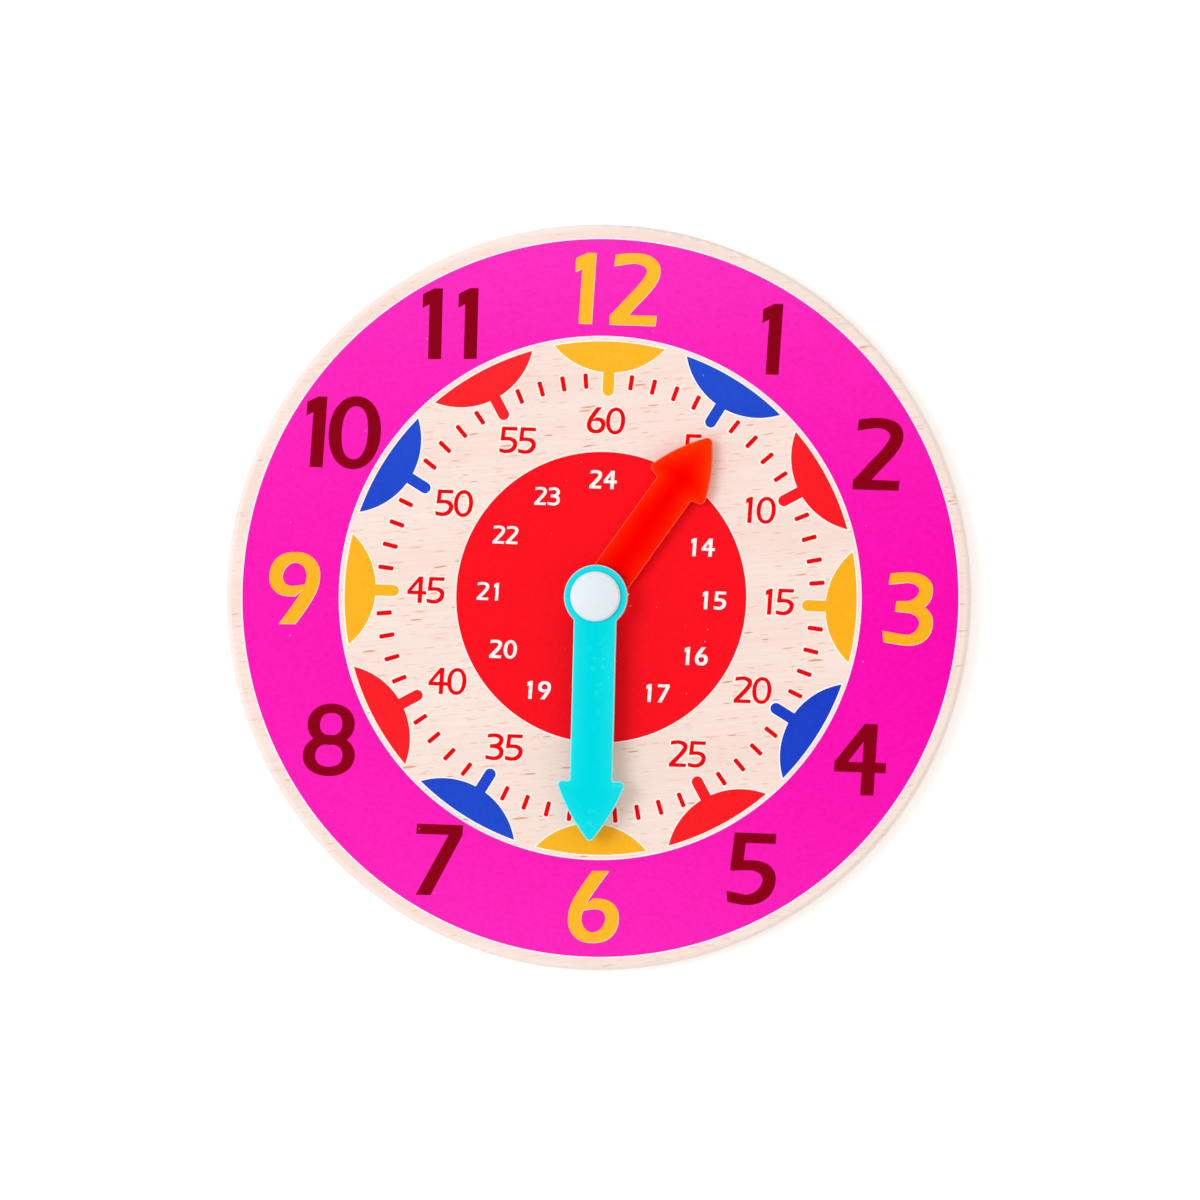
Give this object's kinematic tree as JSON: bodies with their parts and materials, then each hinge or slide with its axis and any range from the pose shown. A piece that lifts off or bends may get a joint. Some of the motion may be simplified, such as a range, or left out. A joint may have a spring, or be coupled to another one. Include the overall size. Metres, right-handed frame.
{
  "type": "teaching clock",
  "caption": "Round wooden teaching clock: a flat printed dial board with two loose moulded plastic hands that turn by hand on a snap-together centre pivot.",
  "frame": {"origin": "centre of the board on its flat back face, where the pivot's axis meets the plane that the clock lies on", "axes": "+Z out of the printed face along the pivot's axis; +Y from the pivot towards twelve o'clock; +X towards three o'clock"},
  "size_m": [0.15, 0.15, 0.0123],
  "materials": {
    "board_wood": "pale beech, sanded smooth, clear matt lacquer",
    "print_ink": "thin opaque satin printing ink",
    "hour_plastic": "slightly translucent moulded plastic, soft gloss",
    "minute_plastic": "moulded plastic, soft gloss",
    "white_plastic": "moulded plastic, soft gloss",
    "washer_plastic": "natural nylon, matt"
  },
  "bodies": {
    "dial": {"dial_board": "board_wood", "rear_socket": "white_plastic", "rear_washer": "washer_plastic", "dial_washer": "washer_plastic", "mid_washer": "washer_plastic", "front_cap": "white_plastic"},
    "hour": {"hour_hand": "hour_plastic"},
    "minute": {"minute_hand": "minute_plastic"}
  },
  "joints": [
    {"name": "hour_hand_turn", "type": "hinge", "parent": "dial", "child": "hour", "pos_m": [0, 0, 0.00695], "axis": [0, 0, -1], "continuous": true},
    {"name": "minute_hand_turn", "type": "hinge", "parent": "dial", "child": "minute", "pos_m": [0, 0, 0.00945], "axis": [0, 0, -1], "continuous": true}
  ]
}
